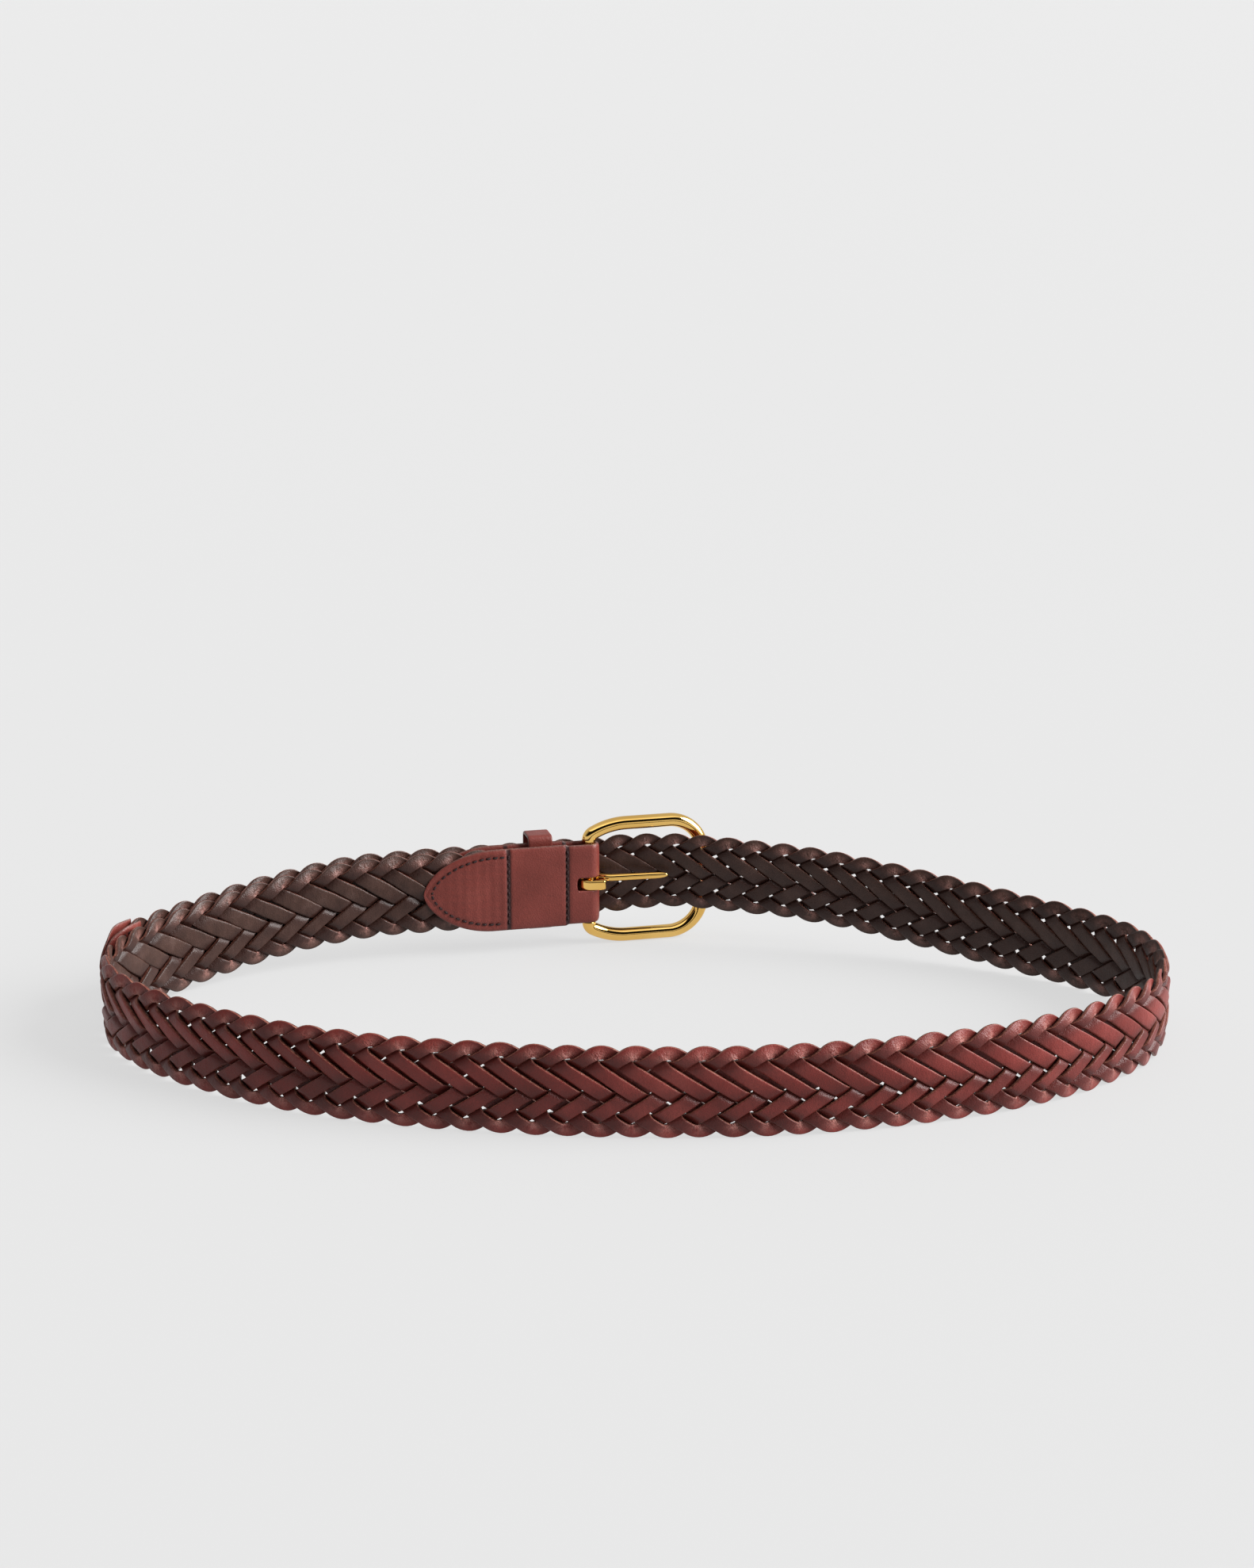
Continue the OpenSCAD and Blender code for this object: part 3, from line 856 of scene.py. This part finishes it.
def prong(material):
    """A tapered rod whose flattened root wraps the heel bar, its short end lying on the inner side."""
    mid = LEAF_OUT - 0.3
    tab = [(TAB_LEN - t, -mid, -0.5) for t in np.linspace(0, TAB_LEN, 9)]
    wrap = [(-mid * math.sin(a), -mid * math.cos(a) * (1 - 0.12 * a / math.pi), -0.5 + 0.9 * a / math.pi)
            for a in np.linspace(0, math.pi, 24)[1:]]
    shaft = [(x, 0.88 * mid * (1 - float(smooth(x / 9.0))) + 0.5 * (1 - x / SHAFT_LEN),
              0.4 + 0.5 * float(smooth(x / 4)) + 0.025 * x) for x in np.linspace(0, SHAFT_LEN, 60)[1:]]
    line = np.array(tab + wrap + shaft)
    ahead = np.gradient(line, axis=0)
    ahead /= np.linalg.norm(ahead, axis=1)[:, None]
    gone = np.concatenate([[0], np.cumsum(np.linalg.norm(np.diff(line, axis=0), axis=1))])
    start = gone[len(tab) + len(wrap) - 1]
    on_shaft = np.clip((gone - start) / (gone[-1] - start), 0, 1)
    round_off = smooth((gone - start + 1) / 6)      # 0 on the flat root and 1 on the round shaft
    high = 1.8 - 0.35 * smooth((gone - start) / 5) - 0.22 * on_shaft
    deep = 0.65 + 0.8 * round_off - 0.45 * on_shaft
    point = np.sqrt(np.clip(1 - ((on_shaft - 0.86) / 0.14).clip(0) ** 2, 0.004, 1))
    blunt = np.sqrt(np.clip(1 - ((1.2 - gone) / 1.2).clip(0) ** 2, 0, 1))
    high = high * point * np.maximum(blunt, 0.75)
    deep = deep * point * np.maximum(blunt, 0.4)
    square = 0.5 + 0.5 * round_off
    a = np.arange(24) * 2 * math.pi / 24
    ca = np.sign(np.cos(a)) * np.abs(np.cos(a)) ** column(square)
    sa = np.sign(np.sin(a)) * np.abs(np.sin(a)) ** column(square)
    x = line[:, 0:1] - ahead[:, 1:2] * column(deep) * ca
    y = line[:, 1:2] + ahead[:, 0:1] * column(deep) * ca
    z = line[:, 2:3] + column(high) * sa
    piece = swept("brass_prong", prong_place(np.stack([x, y, z], -1)))
    return settle(piece, "prong", "brass", material, "prong")


# ---- Tip of the free end ---------------------------------------------------------------------------

TIP_SEAM = TIP_LEN - 3
TIP_INSET = 2.4
TIP_GAP = 0.03          # the leaves' inner faces from the middle at the point
SUNK = 0.1              # how deep the thread lies in the leather


def tip_half(x):
    """Half the tip's width at x: two arcs that meet in a point."""
    r = (TIP_POINT ** 2 + STRAP_W ** 2 / 4) / STRAP_W
    back = np.clip(TIP_POINT - x, 0, TIP_POINT)
    pointed = np.sqrt(np.maximum(r * r - back ** 2, 0)) - (r - STRAP_W / 2)
    return np.maximum(np.where(x < TIP_POINT, pointed, STRAP_W / 2), 0.25)


def tip_base(x):
    """How far a leaf's inner face stands from the middle. The leaves close towards the point."""
    return TIP_GAP + HALF_T * smooth((x - 2.5) / (TIP_CLOSED + 1))


def tip_leaf(side, material, node):
    """One leaf over the strands' ends. It closes on its twin towards the point."""
    x = np.concatenate([np.linspace(0, 4, 16)[:-1], np.linspace(4, TIP_LEN, 44)])
    across, thick = leaf_section(48)
    half = column(tip_half(x))
    z = half * across
    edge = half - np.abs(z)
    leather = TIP_T * (1 - 0.3 * smooth((x - TIP_SEAM) / 3))
    row = -0.2 * bell(edge - TIP_INSET, 0.6) * (column(x) < TIP_SEAM)
    sewn = row - 0.22 * bell(column(x) - TIP_SEAM, 0.7)
    y = column(tip_base(x)) + column(leather) * (thick + 1) / 2 + np.clip(thick, 0, 1) * (sewn + 0.12)
    rings = at_tip(np.stack([column(x) + 0 * z, side * y, z], -1))
    piece = swept(f"{node}_leather", rings, marks={"rim": np.abs(across)})
    return settle(piece, "strap", "chape_leather", material, node)


def tip_rows():
    """The seam across the strap, and a row along both edges to the point."""
    rows = straight_rows(TIP_LEN - 2.5, 12.4, 8, TIP_GAP + HALF_T + TIP_T - SUNK)
    gap, length = 2.6, 1.9
    for side in (-1, 1):
        for half in (-1, 1):
            for x in np.arange(2.8, TIP_SEAM - 1, gap):
                ends = [(x + d, half * (float(tip_half(x + d)) - TIP_INSET)) for d in (0, length)]
                rows.append((*ends, side, float(tip_base(x + length / 2)) + TIP_T - SUNK))
    return rows


# ---- Building --------------------------------------------------------------------------------------

leather = strand_leather()
leather_look = smooth_leather()
thread = waxed_thread()
brass = polished_brass()
for number in range(8):
    strand(number, leather)
chape(leather_look)
stitches("pointed_end_stitches", edge_rows(), thread, "edge_stitching")
stitches("braid_seam_stitches", straight_rows(BRAID_SEAM_X, 13.6, 10, LEAF_OUT - 0.2), thread, "braid_seam")
stitches("fold_seam_stitches", straight_rows(FOLD_SEAM_X, 13.8, 11, LEAF_OUT - 0.2), thread, "fold_seam")
keeper(leather_look)
buckle_frame(brass)
prong(brass)
tip_leaf(1, leather_look, "tip_outer")
tip_leaf(-1, leather_look, "tip_inner")
stitches("tip_stitches", tip_rows(), thread, "tip_stitching", at_tip)
staple = frame["nodes"]["keeper_staple"]
staple.data.materials.clear()
staple.data.materials.append(bright_wire())

# ---- Floor, light and camera -----------------------------------------------------------------------

SKY_STRENGTH = 0.66
HORIZON = 0.86 / SKY_STRENGTH
FLOOR_GREY = 0.10
FLOOR_GLOW = 0.63


def floor():
    """A wide pale floor that glows a little, so its shadows stay light."""
    n = Nodes("studio_floor")
    n.set(Base_Color=(FLOOR_GREY, FLOOR_GREY, FLOOR_GREY, 1), Roughness=0.9, Specular_IOR_Level=0.1)
    n.set(Emission_Color=(1, 1, 1, 1), Emission_Strength=FLOOR_GLOW)
    mesh = bpy.data.meshes.new("studio_floor")
    far = 60.0
    mesh.from_pydata([(-far, -far, 0), (far, -far, 0), (far, far, 0), (-far, far, 0)], [], [(0, 1, 2, 3)])
    mesh.materials.append(n.material)
    piece = bpy.data.objects.new("studio_floor", mesh)
    bpy.context.scene.collection.objects.link(piece)


def sun(name, strength, azimuth, elevation, spread):
    """Soft light from that azimuth (0 is +X, 90 is +Y) and elevation, all in degrees."""
    light = bpy.data.lights.new(name, "SUN")
    light.energy = strength
    light.angle = math.radians(spread)
    piece = bpy.data.objects.new(name, light)
    a, e = math.radians(azimuth), math.radians(elevation)
    toward = Vector((math.cos(a) * math.cos(e), math.sin(a) * math.cos(e), math.sin(e)))
    piece.rotation_euler = toward.to_track_quat("Z", "Y").to_euler()
    bpy.context.scene.collection.objects.link(piece)


def world():
    """A pale studio with a dark band above the camera's side, which the brass reflects as a stripe."""
    sky = bpy.data.worlds.new("studio")
    sky.use_nodes = True
    tree = sky.node_tree
    place = tree.nodes.new("ShaderNodeTexCoord").outputs["Generated"]
    split = tree.nodes.new("ShaderNodeSeparateXYZ")
    tree.links.new(place, split.inputs["Vector"])
    band = tree.nodes.new("ShaderNodeValToRGB")
    greys = ((0.0, 1.1), (0.20, 1.3), (0.28, 0.01), (0.74, 0.01), (0.80, 2.8), (1.0, 1.6))
    fill_ramp(band.color_ramp, [(at, (grey, grey, grey)) for at, grey in greys])
    tree.links.new(split.outputs["Z"], band.inputs["Fac"])
    front = tree.nodes.new("ShaderNodeMapRange")
    for key, number in (("From Min", -0.5), ("From Max", 0.1), ("To Min", 1.0), ("To Max", 0.0)):
        front.inputs[key].default_value = number
    tree.links.new(split.outputs["Y"], front.inputs["Value"])
    mix = tree.nodes.new("ShaderNodeMix")
    mix.data_type = "RGBA"
    tree.links.new(front.outputs["Result"], mix.inputs[0])
    mix.inputs[6].default_value = (1, 1, 1, 1)
    tree.links.new(band.outputs["Color"], mix.inputs[7])
    seen = tree.nodes.new("ShaderNodeMix")
    seen.data_type = "RGBA"
    tree.links.new(tree.nodes.new("ShaderNodeLightPath").outputs["Is Camera Ray"], seen.inputs[0])
    tree.links.new(mix.outputs[2], seen.inputs[6])
    seen.inputs[7].default_value = (HORIZON, HORIZON, HORIZON, 1)
    tree.links.new(seen.outputs[2], tree.nodes["Background"].inputs["Color"])
    tree.nodes["Background"].inputs["Strength"].default_value = SKY_STRENGTH
    bpy.context.scene.world = sky


def camera():
    """At the photograph's angle: about 0.94 m in front of the belt and 0.34 m up."""
    look_down = 15.36
    lens = bpy.data.cameras.new("camera")
    lens.sensor_width = 36
    lens.lens = 67.2
    lens.clip_start = 0.05
    lens.clip_end = 500
    piece = bpy.data.objects.new("camera", lens)
    piece.location = (0.0002, -0.9399, 0.3437)
    piece.rotation_euler = (math.radians(90 - look_down), 0, 0)
    bpy.context.scene.collection.objects.link(piece)
    bpy.context.scene.camera = piece


bpy.context.scene.view_settings.view_transform = "Standard"
floor()
world()
sun("key", strength=7.2, azimuth=-6, elevation=28, spread=45)
camera()
